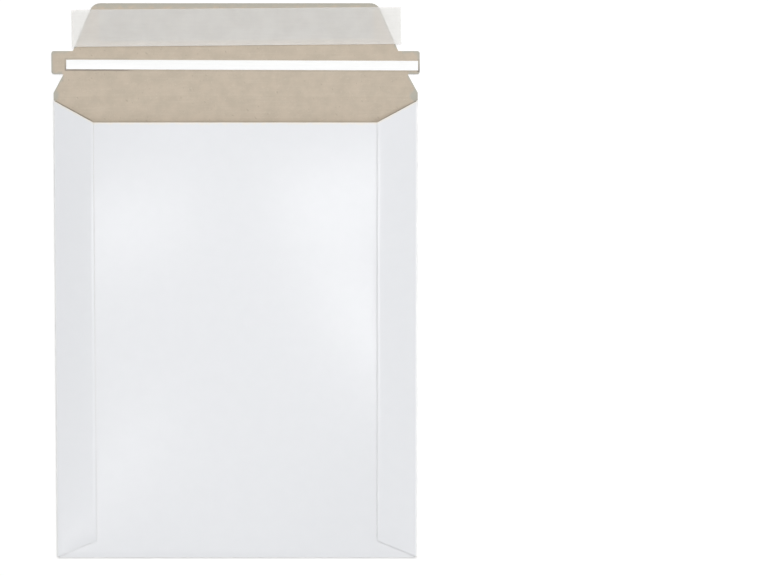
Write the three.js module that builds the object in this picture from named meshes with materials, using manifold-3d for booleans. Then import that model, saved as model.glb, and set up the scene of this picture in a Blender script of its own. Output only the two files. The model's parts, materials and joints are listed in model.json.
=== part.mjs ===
import * as THREE from 'three';
import { mergeVertices } from 'three/addons/utils/BufferGeometryUtils.js';
import Module from 'manifold-3d';

// Flat paperboard mailer, open, lying on its back. Millimetres: X across, Y towards the closure flap, Z up.
// The origin is the middle of the rear panel's outer face.

// Pocket
const bodyWidth = 228.6;
const bodyLength = 292.1;
const boardThickness = 0.7;
const sideFlapWidth = 25.4;
const sideFlapSlant = 10.5;
const throatDrop = 16.6;
const sideFoldDrop = 3;
const mouthGape = 5;
const seamLiftShare = 0.7;

// Closure flap, measured up from the score
const flapLength = 58;
const flapTaperDegrees = 23.5;
const neckRise = 2.1;
const neckTaperDegrees = 28.6;
const flapCornerRadius = 7;
const tabStart = 13.8;
const tabLength = 14.4;
const tabOverhang = 1.2;
const tabCornerRadius = 1.5;

// Tear tape across the closure flap
const tapeWidth = 6;
const tapeThickness = 0.12;
const tapeStartInset = 9.3;
const tapeEndInset = 1;
const tapeRise = -1.6;
const tapeTiltDegrees = -0.2;

// Release liner and the adhesive under it
const linerLength = 206.6;
const linerWidth = 23.2;
const linerThickness = 0.1;
const linerShift = 0.6;
const linerTiltDegrees = 0.5;
const linerTipMargin = 3.2;
const adhesiveLength = 172;
const adhesiveWidth = 19.2;
const adhesiveThickness = 0.12;
const adhesiveTopMargin = 0.6;

// Glue between side flaps and front panel
const glueWidth = 14;
const glueEndMargin = 12;

// Clearances
const foldGap = 0.4;
const seamGap = 0.3;
const glueClearance = 0.1;
const frontEdgeClearance = 0.6;
const creaseGap = 0.15;
const linerClearance = 0.02;

// Mesh steps
const lengthSteps = 16;
const widthSteps = 20;
const arcSteps = 6;
const joinOverlap = 2;

// Places that follow from the sizes above
const halfWidth = bodyWidth / 2;
const scoreY = bodyLength / 2;
const throatY = scoreY - throatDrop;
const sideFoldTopY = scoreY - sideFoldDrop;
const bottomRadius = boardThickness + foldGap / 2;
const panelStartY = bottomRadius - bodyLength / 2;
const frontInnerZ = boardThickness + foldGap;
const frontOuterZ = frontInnerZ + boardThickness;
const sideFlapZ = frontOuterZ + seamGap;
const sideRadius = (sideFlapZ + boardThickness) / 2;
const sideFoldX = halfWidth - sideRadius;
const seamX = halfWidth - sideFlapWidth;
const frontHalfWidth = halfWidth - boardThickness - frontEdgeClearance;

// Exact axis swaps: a section drawn as XZ is run along Y, and one drawn as YZ along X.
const sectionAlongY = new THREE.Matrix4().makeBasis(
  new THREE.Vector3(1, 0, 0),
  new THREE.Vector3(0, 0, 1),
  new THREE.Vector3(0, -1, 0),
);
const sectionAlongX = new THREE.Matrix4().makeBasis(
  new THREE.Vector3(0, 1, 0),
  new THREE.Vector3(0, 0, 1),
  new THREE.Vector3(1, 0, 0),
);

const wasm = await Module();
wasm.setup();

// Height that the sprung-open front panel stands above its flat place: straight slopes over the two
// glued seams, a parabola between them, easing from nothing at the bottom fold to full at the mouth.
function mouthLift(x, y) {
  const along = THREE.MathUtils.clamp((y - panelStartY) / (throatY - panelStartY), 0, 1);
  const across = Math.min(Math.abs(x), sideFoldX);
  const seamRise = (seamLiftShare * (sideFoldX - Math.max(across, seamX))) / (sideFoldX - seamX);
  const archRise = (1 - seamLiftShare) * (1 - (Math.min(across, seamX) / seamX) ** 2);
  return (mouthGape - foldGap) * along * (2 - along) * (seamRise + archRise);
}

// Moves every point above the rear panel up with the front panel.
function liftWithMouth(geometry) {
  const points = geometry.attributes.position;
  for (let i = 0; i < points.count; i += 1) {
    const z = points.getZ(i);
    if (z > boardThickness + foldGap / 2) {
      points.setZ(i, z + mouthLift(points.getX(i), points.getY(i)));
    }
  }
  return geometry;
}

// Points along an arc, both ends included.
function arcPoints(centreX, centreY, radius, startDegrees, endDegrees) {
  const points = [];
  for (let i = 0; i <= arcSteps; i += 1) {
    const angle = THREE.MathUtils.degToRad(THREE.MathUtils.lerp(startDegrees, endDegrees, i / arcSteps));
    points.push(new THREE.Vector2(centreX + radius * Math.cos(angle), centreY + radius * Math.sin(angle)));
  }
  return points;
}

// Points along a straight line, both ends included.
function linePoints(start, end, steps) {
  const points = [];
  for (let i = 0; i <= steps; i += 1) {
    points.push(new THREE.Vector2().lerpVectors(start, end, i / steps));
  }
  return points;
}

// Outline with each corner [x, y, radius] rounded by a tangent arc.
function roundedShape(corners) {
  const points = [];
  corners.forEach(([x, y, radius], i) => {
    const corner = new THREE.Vector2(x, y);
    if (radius === 0) {
      points.push(corner);
      return;
    }
    const [beforeX, beforeY] = corners.at(i - 1);
    const [afterX, afterY] = corners[(i + 1) % corners.length];
    const back = new THREE.Vector2(beforeX, beforeY).sub(corner).normalize();
    const ahead = new THREE.Vector2(afterX, afterY).sub(corner).normalize();
    const halfAngle = Math.acos(back.dot(ahead)) / 2;
    const middle = back.clone().add(ahead).normalize();
    const centre = corner.clone().addScaledVector(middle, radius / Math.sin(halfAngle));
    const tangent = radius / Math.tan(halfAngle);
    const first = corner.clone().addScaledVector(back, tangent).sub(centre);
    const last = corner.clone().addScaledVector(ahead, tangent).sub(centre);
    const turn = Math.atan2(first.cross(last), first.dot(last));
    for (let step = 0; step <= arcSteps; step += 1) {
      const spoke = first.clone().rotateAround(new THREE.Vector2(), (turn * step) / arcSteps);
      points.push(spoke.add(centre));
    }
  });
  return new THREE.Shape(points);
}

function plate(shape, depth) {
  return new THREE.ExtrudeGeometry(shape, { depth, bevelEnabled: false });
}

function toSolid(geometry) {
  const bare = geometry.clone();
  bare.deleteAttribute('normal');
  bare.deleteAttribute('uv');
  const merged = mergeVertices(bare, 1e-5);
  const mesh = new wasm.Mesh({
    numProp: 3,
    vertProperties: new Float32Array(merged.attributes.position.array),
    triVerts: new Uint32Array(merged.index.array),
  });
  return new wasm.Manifold(mesh);
}

function toGeometry(solid) {
  const mesh = solid.getMesh();
  const geometry = new THREE.BufferGeometry();
  geometry.setAttribute('position', new THREE.BufferAttribute(mesh.vertProperties, 3));
  geometry.setIndex(new THREE.BufferAttribute(mesh.triVerts, 1));
  geometry.computeVertexNormals();
  return geometry;
}

function makeNode(name, geometry, color, roughness) {
  const material = new THREE.MeshStandardMaterial({ color, roughness, metalness: 0 });
  const mesh = new THREE.Mesh(geometry, material);
  mesh.name = name;
  return mesh;
}

// Rear panel: full width only between the upper ends of the side folds and the score.
function rearPanel() {
  const outline = [
    [-sideFoldX, panelStartY, 0],
    [sideFoldX, panelStartY, 0],
    [sideFoldX, sideFoldTopY, 0],
    [halfWidth, sideFoldTopY, 0],
    [halfWidth, scoreY, 0],
    [-halfWidth, scoreY, 0],
    [-halfWidth, sideFoldTopY, 0],
    [-sideFoldX, sideFoldTopY, 0],
  ];
  return plate(roundedShape(outline), boardThickness);
}

// Bottom fold and front panel: one J-shaped section run across the width.
function frontPanel() {
  const outer = linePoints(
    new THREE.Vector2(panelStartY, frontOuterZ),
    new THREE.Vector2(throatY, frontOuterZ),
    lengthSteps,
  );
  const inner = linePoints(
    new THREE.Vector2(throatY, frontInnerZ),
    new THREE.Vector2(panelStartY, frontInnerZ),
    lengthSteps,
  );
  const section = [
    new THREE.Vector2(panelStartY + joinOverlap, 0),
    ...arcPoints(panelStartY, bottomRadius, bottomRadius, -90, -270),
    ...outer.slice(1),
    ...inner,
    ...arcPoints(panelStartY, bottomRadius, foldGap / 2, -270, -90).slice(1),
    new THREE.Vector2(panelStartY + joinOverlap, boardThickness),
  ];
  const geometry = new THREE.ExtrudeGeometry(new THREE.Shape(section), {
    depth: 2 * frontHalfWidth,
    steps: widthSteps,
    bevelEnabled: false,
  });
  geometry.translate(0, 0, -frontHalfWidth);
  geometry.applyMatrix4(sectionAlongX);
  return liftWithMouth(geometry);
}

// Side fold and side flap: one hook-shaped section run along the length.
// Side is -1 at the left and 1 at the right.
function sideWing(side) {
  const section = [
    new THREE.Vector2(sideFoldX - joinOverlap, 0),
    ...arcPoints(sideFoldX, sideRadius, sideRadius, -90, 90),
    new THREE.Vector2(seamX, 2 * sideRadius),
    new THREE.Vector2(seamX, sideFlapZ),
    ...arcPoints(sideFoldX, sideRadius, sideRadius - boardThickness, 90, -90),
    new THREE.Vector2(sideFoldX - joinOverlap, boardThickness),
  ];
  section.forEach((point) => {
    point.x *= side;
  });
  const geometry = new THREE.ExtrudeGeometry(new THREE.Shape(section), {
    depth: sideFoldTopY - panelStartY,
    steps: lengthSteps,
    bevelEnabled: false,
  });
  geometry.translate(0, 0, -sideFoldTopY);
  geometry.applyMatrix4(sectionAlongY);
  return liftWithMouth(geometry);
}

// Prism that takes away a side wing above the rear panel, past a slanted line from fold to seam edge.
function slantCut(side, foldEndY, seamEndY) {
  const slope = (seamEndY - foldEndY) / (seamX - halfWidth);
  const innerX = seamX - joinOverlap;
  const outerX = halfWidth + joinOverlap;
  const farY = Math.sign(foldEndY - seamEndY) * bodyLength;
  const outline = [
    [side * innerX, foldEndY + slope * (innerX - halfWidth), 0],
    [side * outerX, foldEndY + slope * (outerX - halfWidth), 0],
    [side * outerX, farY, 0],
    [side * innerX, farY, 0],
  ];
  const geometry = plate(roundedShape(outline), mouthGape + 2 * sideRadius);
  geometry.translate(0, 0, boardThickness + foldGap / 2);
  return geometry;
}

function pocketBoard() {
  let solid = toSolid(rearPanel()).add(toSolid(frontPanel()));
  [-1, 1].forEach((side) => {
    const wing = toSolid(sideWing(side))
      .subtract(toSolid(slantCut(side, sideFoldTopY, throatY)))
      .subtract(toSolid(slantCut(side, panelStartY, panelStartY + sideFlapSlant)));
    solid = solid.add(wing);
  });
  return toGeometry(solid);
}

// Half-width of the tapered flap at a height above the score.
function flapHalfWidth(rise) {
  return halfWidth - rise * Math.tan(THREE.MathUtils.degToRad(flapTaperDegrees));
}

// Closure flap with a pull tab at each side. It rises straight from the score, narrows in a steeper
// neck below the tabs and tapers from there to a rounded tip.
function closureFlap() {
  const tabEnd = tabStart + tabLength;
  const tabX = halfWidth + tabOverhang;
  const neckInset = (tabStart - neckRise) * Math.tan(THREE.MathUtils.degToRad(neckTaperDegrees));
  const right = [
    [halfWidth, scoreY + creaseGap, 0],
    [halfWidth, scoreY + neckRise, 0],
    [halfWidth - neckInset, scoreY + tabStart, 0],
    [tabX, scoreY + tabStart, tabCornerRadius],
    [tabX, scoreY + tabEnd, tabCornerRadius],
    [flapHalfWidth(tabEnd), scoreY + tabEnd, 0],
    [flapHalfWidth(flapLength), scoreY + flapLength, flapCornerRadius],
  ];
  const left = right.map(([x, y, radius]) => [-x, y, radius]).reverse();
  return plate(roundedShape([...right, ...left]), boardThickness);
}

// Glue line in the seam at one side, lifted with the front panel.
function seamGlue(side) {
  const startY = panelStartY + sideFlapSlant + glueEndMargin;
  const endY = throatY - glueEndMargin;
  const geometry = new THREE.BoxGeometry(
    glueWidth,
    endY - startY,
    seamGap - 2 * glueClearance,
    1,
    lengthSteps,
    1,
  );
  geometry.translate((side * (seamX + sideFoldX)) / 2, (startY + endY) / 2, frontOuterZ + seamGap / 2);
  return liftWithMouth(geometry);
}

const mailer = new THREE.Group();
mailer.name = 'rigid_mailer';
mailer.add(makeNode('pocket_board', pocketBoard(), 0xecedef, 0.55));
mailer.add(makeNode('closure_flap', closureFlap(), 0xc5b8a7, 0.85));
mailer.add(makeNode('seam_glue_left', seamGlue(-1), 0xe6dcc0, 0.4));
mailer.add(makeNode('seam_glue_right', seamGlue(1), 0xe6dcc0, 0.4));

const tabSpan = bodyWidth + 2 * tabOverhang;
const tapeLength = tabSpan - tapeStartInset - tapeEndInset;
const tearTape = makeNode(
  'tear_tape',
  new THREE.BoxGeometry(tapeLength, tapeWidth, tapeThickness),
  0xfcfcfb,
  0.35,
);
tearTape.position.set(
  (tapeStartInset - tapeEndInset) / 2,
  scoreY + tabStart + tabLength / 2 + tapeRise,
  boardThickness + tapeThickness / 2,
);
tearTape.rotation.z = THREE.MathUtils.degToRad(tapeTiltDegrees);
mailer.add(tearTape);

// The liner and its adhesive went on together, a little out of square with the flap.
const seal = new THREE.Group();
seal.position.set(linerShift, scoreY + flapLength - linerTipMargin - linerWidth / 2, boardThickness);
seal.rotation.z = THREE.MathUtils.degToRad(linerTiltDegrees);
const adhesive = makeNode(
  'seal_adhesive',
  new THREE.BoxGeometry(adhesiveLength, adhesiveWidth, adhesiveThickness),
  0xd9d2bf,
  0.25,
);
adhesive.position.set(0, (linerWidth - adhesiveWidth) / 2 - adhesiveTopMargin, adhesiveThickness / 2);
const liner = makeNode(
  'release_liner',
  new THREE.BoxGeometry(linerLength, linerWidth, linerThickness),
  0xd6d5d0,
  0.35,
);
liner.position.z = adhesiveThickness + linerClearance + linerThickness / 2;
seal.add(adhesive, liner);
mailer.add(seal);

export default mailer;
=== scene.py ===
"""A flat paperboard mailer: the folded board, its films and glue, the floor, the light and the camera."""

import json
import logging
import math
from dataclasses import dataclass, replace
from enum import Enum
from functools import reduce
from typing import Any

import bpy
import numpy as np
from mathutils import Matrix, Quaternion, Vector

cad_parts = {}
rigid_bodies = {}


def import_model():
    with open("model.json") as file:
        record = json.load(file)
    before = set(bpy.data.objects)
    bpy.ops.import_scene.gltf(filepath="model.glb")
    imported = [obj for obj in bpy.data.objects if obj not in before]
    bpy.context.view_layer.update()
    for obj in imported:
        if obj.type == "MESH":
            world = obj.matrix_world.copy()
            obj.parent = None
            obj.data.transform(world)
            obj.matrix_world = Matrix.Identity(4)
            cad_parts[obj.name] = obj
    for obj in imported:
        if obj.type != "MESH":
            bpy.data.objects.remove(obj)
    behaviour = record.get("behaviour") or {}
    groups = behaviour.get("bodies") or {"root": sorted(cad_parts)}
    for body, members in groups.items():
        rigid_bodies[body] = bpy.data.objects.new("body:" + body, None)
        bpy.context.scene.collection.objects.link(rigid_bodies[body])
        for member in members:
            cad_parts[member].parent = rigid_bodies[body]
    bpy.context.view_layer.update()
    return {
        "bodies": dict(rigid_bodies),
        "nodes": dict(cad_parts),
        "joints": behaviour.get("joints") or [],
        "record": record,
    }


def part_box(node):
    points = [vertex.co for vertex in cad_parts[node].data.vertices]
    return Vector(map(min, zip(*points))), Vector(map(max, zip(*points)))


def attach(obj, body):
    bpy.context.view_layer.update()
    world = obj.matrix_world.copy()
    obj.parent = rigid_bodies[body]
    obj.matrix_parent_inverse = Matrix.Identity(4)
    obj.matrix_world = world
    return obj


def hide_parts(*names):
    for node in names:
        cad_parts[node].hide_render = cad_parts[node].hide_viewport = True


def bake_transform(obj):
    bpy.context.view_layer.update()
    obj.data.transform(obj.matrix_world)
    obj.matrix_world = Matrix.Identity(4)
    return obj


Array = np.ndarray
Arrays = tuple[np.ndarray, ...]
Colour = tuple[float, float, float]
Triple = tuple[float, float, float]
Span = tuple[float, float]
Group = bpy.types.NodeTree
Material = bpy.types.Material
Output = bpy.types.NodeSocket
Piece = bpy.types.Object

LOG = logging.getLogger("mailer")
MM = 0.001
WELD_STEP = 1e-7
SOFT_EDGE_ANGLE = math.radians(50)
SOFT_EDGE_SEGMENTS = 2
NODE_COLUMNS = 8
NODE_PITCH = (220, -260)


class Side(Enum):
    """Left and right of the mailer, as the sign of X."""

    LEFT = -1
    RIGHT = 1


class BoardFace(Enum):
    """Faces of the board, as the material slot each one takes."""

    OUTSIDE = 0
    INSIDE = 1
    CUT = 2


class Levels(Enum):
    """Stretches of a noise about 0.5, from nearly all of it down to its middle."""

    WIDE = (0.25, 0.75)
    COMMON = (0.3, 0.7)
    NARROW = (0.35, 0.65)


class StreakPattern(Enum):
    """Patterns of the streak group, as the names of its outputs."""

    STREAK = "Streak"
    BLOTCH = "Blotch"


@dataclass(frozen=True)
class MailerSizes:
    """Sizes of the folded mailer in metres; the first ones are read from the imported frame."""

    half_width: float
    bottom_y: float
    score_y: float
    flap_tip_y: float
    tab_x: float
    board: float
    mouth_gape: float
    side_flap_width: float = 25.4 * MM
    side_flap_slant: float = 10.5 * MM
    throat_drop: float = 16.6 * MM
    side_fold_drop: float = 3.0 * MM
    seam_lift_share: float = 0.7
    seam_bulge: float = 0.15 * MM
    fold_gap: float = 0.4 * MM
    seam_gap: float = 0.3 * MM
    flap_taper: float = math.tan(math.radians(23.5))
    neck_rise: float = 2.1 * MM
    neck_taper: float = math.tan(math.radians(28.6))
    flap_corner: float = 7.0 * MM
    curl_height: float = 0.6 * MM
    tab_start: float = 13.8 * MM
    tab_length: float = 14.4 * MM
    tab_corner: float = 1.5 * MM

    @classmethod
    def from_frame(cls, frame: dict[str, Any]) -> "MailerSizes":
        """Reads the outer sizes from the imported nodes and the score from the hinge.


        Returns:
            The sizes that every piece of the scene is worked out from.
        """
        pocket_low, pocket_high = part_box("pocket_board")
        flap_low, flap_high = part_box("closure_flap")
        board = flap_high[2] - flap_low[2]
        return cls(
            half_width=pocket_high[0],
            bottom_y=pocket_low[1],
            score_y=frame["joints"][0]["pos_m"][1],
            flap_tip_y=flap_high[1],
            tab_x=flap_high[0],
            board=board,
            mouth_gape=pocket_high[2] - 2 * board,
        )

    @property
    def throat_y(self) -> float:
        """Height of the front panel's upper edge."""
        return self.score_y - self.throat_drop

    @property
    def side_fold_top_y(self) -> float:
        """Upper end of the side folds."""
        return self.score_y - self.side_fold_drop

    @property
    def bottom_radius(self) -> float:
        """Outer radius of the bottom fold."""
        return self.board + self.fold_gap / 2

    @property
    def panel_start_y(self) -> float:
        """Height at which rear and front panel leave the bottom fold."""
        return self.bottom_y + self.bottom_radius

    @property
    def front_z(self) -> float:
        """Middle of the front panel's board where it leaves its folds."""
        return 1.5 * self.board + self.fold_gap

    @property
    def side_radius(self) -> float:
        """Outer radius of the side folds."""
        return (3 * self.board + self.fold_gap + self.seam_gap) / 2

    @property
    def side_fold_x(self) -> float:
        """Where the flat panels end and the side folds begin."""
        return self.half_width - self.side_radius

    @property
    def crest_x(self) -> float:
        """Outermost line of the side folds, on the middle of the board."""
        return self.half_width - self.board / 2

    @property
    def seam_x(self) -> float:
        """Free edge of the side flaps."""
        return self.half_width - self.side_flap_width

    def tapered_half_width(self, y: Array) -> Array:
        """Half-width of the tapered closure flap: the half-width at the score less rise times taper."""
        return self.half_width - (y - self.score_y) * self.flap_taper

    def mouth_lift(self, x: Array, y: Array) -> Array:
        """Height of the sprung-open front panel above its flat place.

        Across, it is a slope with a slight bulge over each glued seam and a flatter parabola between
        them. Along, it is a parabola that starts at the bottom fold and levels out at the mouth.

        Args:
            x: places across, in metres.
            y: places along, in metres.

        Returns:
            The lift at each place, in metres.
        """
        along = np.clip((y - self.panel_start_y) / (self.throat_y - self.panel_start_y), 0, 1)
        across = np.minimum(np.abs(x), self.side_fold_x)
        seam_run = (self.side_fold_x - np.maximum(across, self.seam_x)) / (self.side_fold_x - self.seam_x)
        arch_run = 1 - (np.minimum(across, self.seam_x) / self.seam_x) ** 2
        rise = self.seam_lift_share * seam_run + (1 - self.seam_lift_share) * arch_run
        bulge = self.seam_bulge * 4 * seam_run * (1 - seam_run)
        return along * (2 - along) * ((self.mouth_gape - self.fold_gap) * rise + bulge)

    def flap_curl(self, y: Array) -> Array:
        """Height of the closure flap's gentle curl: a parabola from the score to the tip."""
        reach = np.clip((y - self.score_y) / (self.flap_tip_y - self.score_y), 0, 1)
        return self.curl_height * reach**2


@dataclass
class SheetPatch:
    """One stretch of a sheet: a grid of points on the middle of its thickness, with what the finishes read.

    points is rows by columns by 3. blank is each point's place on the flat sheet, edge its distance to
    the nearest cut edge and fold how far it lies on a fold, from 0 to 1.
    """

    points: Array
    blank: Array
    edge: Array
    fold: Array
    flipped: bool

    @classmethod
    def laid(cls, place: Arrays, blank: Arrays, edge: Any, fold: Any, flipped: bool) -> "SheetPatch":
        """Spreads rows, columns and whole grids over one grid.

        Args:
            place: arrays of the points' X, Y and Z.
            blank: arrays of their X and Y on the flat sheet.
            edge: number or array of the distances to the nearest cut edge.
            fold: number or array of how far they lie on a fold.
            flipped: whether the quads are turned over.

        Returns:
            The patch.
        """
        x, y, z, flat_x, flat_y, edge, fold = np.broadcast_arrays(*place, *blank, edge, fold)
        return cls(np.stack([x, y, z], axis=-1), np.stack([flat_x, flat_y], axis=-1), edge, fold, flipped)

    def quads(self) -> Array:
        """Lists the grid's quads.

        Returns:
            Four corner indices for each quad, turned over where the patch is flipped.
        """
        rows, columns = self.points.shape[:2]
        index = np.arange(rows * columns).reshape(rows, columns)
        corners = [index[:-1, :-1], index[:-1, 1:], index[1:, 1:], index[1:, :-1]]
        faces = np.stack(corners, axis=-1).reshape(-1, 4)
        return faces[:, ::-1] if self.flipped else faces


def sheet_mesh(name: str, patches: list[SheetPatch]) -> Piece:
    """Joins patches at their shared edges into one mesh object with its attributes.

    Args:
        name: the piece's name.
        patches: the sheet's stretches, whose shared edges have the same points.

    Returns:
        The new object, at the origin.
    """
    points = np.concatenate([patch.points.reshape(-1, 3) for patch in patches])
    blank = np.concatenate([patch.blank.reshape(-1, 2) for patch in patches])
    edge = np.concatenate([patch.edge.ravel() for patch in patches])
    fold = np.concatenate([patch.fold.ravel() for patch in patches])
    starts = np.cumsum([0] + [patch.edge.size for patch in patches[:-1]])
    faces = np.concatenate([patch.quads() + start for patch, start in zip(patches, starts)])
    places = np.round(points / WELD_STEP)
    _, first, welded = np.unique(places, axis=0, return_index=True, return_inverse=True)
    mesh = bpy.data.meshes.new(name)
    mesh.from_pydata(points[first], [], welded.reshape(-1)[faces])
    flat = np.column_stack([blank[first], np.zeros(len(first))])
    mesh.attributes.new("blank", "FLOAT_VECTOR", "POINT").data.foreach_set("vector", flat.ravel())
    for label, values in (("edge", edge), ("fold", fold)):
        mesh.attributes.new(label, "FLOAT", "POINT").data.foreach_set("value", values[first])
    mesh.polygons.foreach_set("use_smooth", np.ones(len(mesh.polygons), dtype=bool))
    mesh.update()
    piece = bpy.data.objects.new(name, mesh)
    bpy.context.collection.objects.link(piece)
    return piece


def thicken(piece: Piece, thickness: float, offset: float, rounding: float) -> None:
    """Gives a sheet its thickness and softens its cut edges; a piece with one finish wears it all round.

    Args:
        piece: the sheet's object.
        thickness: of the sheet, in metres.
        offset: 0 to grow to both sides, 1 to grow along the normals.
        rounding: width of the softened corner at the cut edges, in metres.
    """
    solid = piece.modifiers.new("thickness", "SOLIDIFY")
    solid.thickness = thickness
    solid.offset = offset
    solid.use_even_offset = True
    solid.material_offset = BoardFace.INSIDE.value
    solid.material_offset_rim = BoardFace.CUT.value
    bevel = piece.modifiers.new("soft_edges", "BEVEL")
    bevel.width = rounding
    bevel.segments = SOFT_EDGE_SEGMENTS
    bevel.limit_method = "ANGLE"
    bevel.angle_limit = SOFT_EDGE_ANGLE
    bevel.harden_normals = True


@dataclass(frozen=True)
class Lumps:
    """A noise: lumps per metre, finer layers and their weight, and a draw along axes turned by degrees."""

    scale: float
    detail: float
    weight: float = 0.5
    draw: Triple = (1, 1, 1)
    turn: float = 0.0


@dataclass(frozen=True)
class Relief:
    """A surface's relief: the strength of its bump and its full depth in metres."""

    strength: float
    depth: float


class NodeDesk:
    """Adds and links the nodes of one tree."""

    def __init__(self, tree: Group) -> None:
        """Takes the tree to work on."""
        self.tree = tree

    def feed(self, socket: Output, value: Any) -> None:
        """Links an output to a socket, or sets a plain value on it.

        Args:
            socket: the input to feed.
            value: output or plain value.
        """
        if isinstance(value, Output):
            self.tree.links.new(value, socket)
        else:
            socket.default_value = value

    def add(self, kind: str, inputs: dict[Any, Any] | None = None, **settings: Any) -> bpy.types.Node:
        """Adds a node.

        Args:
            kind: Blender's name of the node type.
            inputs: value or output for each input, by its name or number.
            **settings: properties to set on the node.

        Returns:
            The new node.
        """
        node = self.tree.nodes.new(kind)
        row, column = divmod(len(self.tree.nodes), NODE_COLUMNS)
        node.location = (NODE_PITCH[0] * column, NODE_PITCH[1] * row)
        for key, value in settings.items():
            setattr(node, key, value)
        for key, value in (inputs or {}).items():
            self.feed(node.inputs[key], value)
        return node

    def maths(self, operation: str, first: Any, second: Any = 0.0, clamp: bool = False) -> Output:
        """One step of arithmetic on numbers or outputs; a clamped result stays between 0 and 1."""
        step = self.add("ShaderNodeMath", {0: first, 1: second}, operation=operation, use_clamp=clamp)
        return step.outputs[0]

    def product(self, *factors: Any) -> Output:
        """Product of two or more numbers or outputs."""
        return reduce(lambda first, second: self.maths("MULTIPLY", first, second), factors)

    def weighted(self, first: Any, second: Any, share: float) -> Output:
        """Sum of two outputs in which the second has the given share."""
        return self.maths("ADD", self.product(first, 1 - share), self.product(second, share))

    def mix(self, factor: Any, first: Any, second: Any) -> Output:
        """Mixes two colours.

        Args:
            factor: number or output, 0 for the first colour.
            first: colour or output.
            second: colour or output.

        Returns:
            The mixed colour's output.
        """
        node = self.add("ShaderNodeMix", data_type="RGBA")
        sockets = {socket.identifier: socket for socket in node.inputs}
        self.feed(sockets["Factor_Float"], factor)
        for label, colour in (("A_Color", first), ("B_Color", second)):
            self.feed(sockets[label], colour if isinstance(colour, Output) else (*colour, 1))
        return next(socket for socket in node.outputs if socket.identifier == "Result_Color")

    def fade(self, value: Any, over: Span, result: Span = (0, 1)) -> Output:
        """Eases from one result to the other while a number or output goes over a stretch."""
        inputs = dict(enumerate((value, *over, *result)))
        return self.add("ShaderNodeMapRange", inputs, interpolation_type="SMOOTHSTEP").outputs[0]

    def mapped(self, place: Any, middle: Span, turn: float, draw: Triple = (1, 1, 1)) -> Output:
        """Reads a place in a pattern's own frame: about its middle, turned by radians and drawn out."""
        inputs = {"Vector": place, "Location": (*middle, 0), "Rotation": (0, 0, turn), "Scale": draw}
        return self.add("ShaderNodeMapping", inputs, vector_type="TEXTURE").outputs[0]

    def axes(self, place: Any) -> tuple[Output, Output]:
        """Outputs of a place's X and Y."""
        node = self.add("ShaderNodeSeparateXYZ", {0: place})
        return node.outputs["X"], node.outputs["Y"]

    def noise(self, place: Any, lumps: Lumps) -> Output:
        """Noise about 0.5.

        Args:
            place: output to read it at.
            lumps: the noise's size, detail and direction.

        Returns:
            The noise value's output.
        """
        drawn = self.mapped(place, (0, 0), math.radians(lumps.turn), lumps.draw)
        inputs = {"Vector": drawn, "Scale": lumps.scale, "Detail": lumps.detail, "Roughness": lumps.weight}
        return self.add("ShaderNodeTexNoise", inputs).outputs[0]

    def attribute(self, name: str, output: str) -> Output:
        """Reads a point attribute of the piece."""
        return self.add("ShaderNodeAttribute", attribute_name=name).outputs[output]


def new_group(name: str, values: tuple[str, ...], results: tuple[str, ...]) -> tuple[NodeDesk, Any, Any]:
    """Starts a shader node group that reads a Place and further values.

    Args:
        name: the group's name.
        values: names of the further inputs.
        results: names of the outputs.

    Returns:
        The group's desk, its input sockets and its output sockets.
    """
    tree = bpy.data.node_groups.new(name, "ShaderNodeTree")
    tree.interface.new_socket("Place", in_out="INPUT", socket_type="NodeSocketVector")
    for direction, labels in (("INPUT", values), ("OUTPUT", results)):
        for label in labels:
            tree.interface.new_socket(label, in_out=direction, socket_type="NodeSocketFloat")
    desk = NodeDesk(tree)
    return desk, desk.add("NodeGroupInput").outputs, desk.add("NodeGroupOutput").inputs


@dataclass(frozen=True)
class PaperFibre:
    """Paper fibre: soft clouds, short fibres in two directions, dark flecks and a height for bump."""

    clouds: Lumps = Lumps(110, 4, weight=0.6)
    fibres: Lumps = Lumps(1500, 2, draw=(1, 4.5, 1), turn=18)
    cross_fibres: Lumps = Lumps(1300, 2, draw=(1, 5.5, 1), turn=-64)
    flecks: Lumps = Lumps(620, 1, draw=(1, 2.2, 1), turn=40)
    fleck_levels: Span = (0.69, 0.76)
    cross_share: float = 0.5
    fuzz: Lumps = Lumps(5200, 2)
    fuzz_share: float = 0.3

    def group(self) -> Group:
        """Builds the node group.

        Returns:
            The group, with outputs Cloud, Fibre and Height about 0.5 and Fleck from 0 to 1.
        """
        desk, given, result = new_group("paper_fibre", (), ("Cloud", "Fibre", "Fleck", "Height"))
        place = given["Place"]
        first, second = desk.noise(place, self.fibres), desk.noise(place, self.cross_fibres)
        fibre = desk.weighted(first, second, self.cross_share)
        desk.feed(result["Cloud"], desk.noise(place, self.clouds))
        desk.feed(result["Fibre"], fibre)
        desk.feed(result["Fleck"], desk.fade(desk.noise(place, self.flecks), self.fleck_levels))
        desk.feed(result["Height"], desk.weighted(fibre, desk.noise(place, self.fuzz), self.fuzz_share))
        return desk.tree


@dataclass(frozen=True)
class CutRim:
    """Crushed rim along die-cut edges: 1 at the edge, fading over an uneven width."""

    unevenness: Lumps = Lumps(260, 3)
    width_shares: Span = (0.5, 1.4)

    def group(self) -> Group:
        """Builds the node group.

        Returns:
            The group, with inputs Place, Distance and Width and output Crush.
        """
        desk, given, result = new_group("cut_edge", ("Distance", "Width"), ("Crush",))
        lumps = desk.noise(given["Place"], self.unevenness)
        uneven = desk.fade(lumps, Levels.COMMON.value, self.width_shares)
        share = desk.maths("DIVIDE", given["Distance"], desk.product(given["Width"], uneven))
        desk.feed(result["Crush"], desk.fade(share, (0, 1), (1, 0)))
        return desk.tree


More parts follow.
